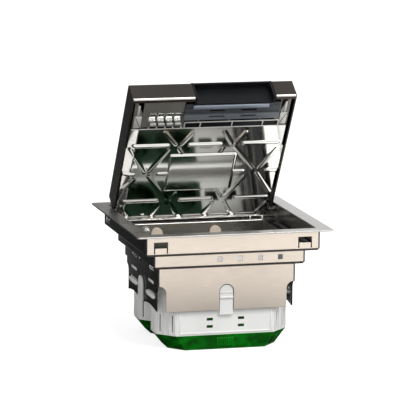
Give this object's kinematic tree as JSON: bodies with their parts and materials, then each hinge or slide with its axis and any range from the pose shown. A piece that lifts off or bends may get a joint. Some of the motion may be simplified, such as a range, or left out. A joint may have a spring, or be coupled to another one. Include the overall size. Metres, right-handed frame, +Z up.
{
  "type": "floor socket box",
  "caption": "Square floor socket box: steel flange and stepped casing, white device boxes over green trays, hinged lid with cable outlet flap.",
  "frame": {"origin": "middle of the square plan, at the underside of the base trays", "axes": "+X to the right, +Y to the lid's hinge side, +Z up out of the floor"},
  "size_m": [0.199, 0.199, 0.2582],
  "materials": {
    "casing_steel": "satin beige-grey sheet, faint vertical grain",
    "flange_steel": "satin grey sheet",
    "seal_rubber": "matt black",
    "earth_brass": "bright brass",
    "white_plastic": "satin white moulding",
    "green_tray": "glossy saturated green moulding",
    "green_module": "glossy green moulding",
    "dark_module": "glossy dark grey moulding",
    "contact_metal": "bright spring metal",
    "divider_steel": "satin sheet",
    "pin_steel": "bright turned steel",
    "arm_steel": "bright pressed steel",
    "lid_steel": "dark satin steel",
    "plate_steel": "mirror-bright pressed steel",
    "header_steel": "dark satin steel",
    "gusset_steel": "bright steel",
    "rack_metal": "blue-grey satin metal",
    "comb_steel": "bright steel",
    "black_plastic": "satin black moulding"
  },
  "bodies": {
    "base": {"flange_frame": "flange_steel", "casing_front": "casing_steel", "casing_rear": "casing_steel", "casing_right": "casing_steel", "casing_left": "casing_steel", "frame_seal": "seal_rubber", "rear_lugs": "casing_steel", "earth_bolt": "earth_brass", "device_box_front": "white_plastic", "device_box_rear": "white_plastic", "base_tray_front": "green_tray", "base_tray_rear": "green_tray", "device_deck_front": "white_plastic", "device_deck_rear": "white_plastic", "socket_front_left": "green_module", "socket_front_middle": "green_module", "socket_rear_left": "green_module", "socket_rear_middle": "green_module", "data_module_front": "dark_module", "data_module_rear": "dark_module", "earth_clips": "contact_metal", "centre_divider": "divider_steel", "hinge_pin_right": "pin_steel", "hinge_pin_left": "pin_steel"},
    "lid": {"lid_shell": "lid_steel", "lid_inner_plate": "plate_steel", "hinge_arm_right": "arm_steel", "hinge_arm_left": "arm_steel", "header_plate_left": "header_steel", "header_plate_right": "header_steel", "header_gussets": "gusset_steel", "outlet_rack": "rack_metal", "outlet_grille": "header_steel", "cable_comb": "comb_steel", "outlet_housing": "black_plastic"},
    "flap": {"outlet_flap": "black_plastic", "flap_pin": "pin_steel"}
  },
  "joints": [
    {"name": "lid_hinge", "type": "hinge", "parent": "base", "child": "lid", "pos_m": [0, 0.079, 0.1135], "axis": [-1, 0, 0], "range_deg": [-57, 38]},
    {"name": "flap_hinge", "type": "hinge", "parent": "lid", "child": "flap", "pos_m": [0, 0.00527, 0.25264], "axis": [-1, 0, 0], "range_deg": [0, 100]}
  ]
}
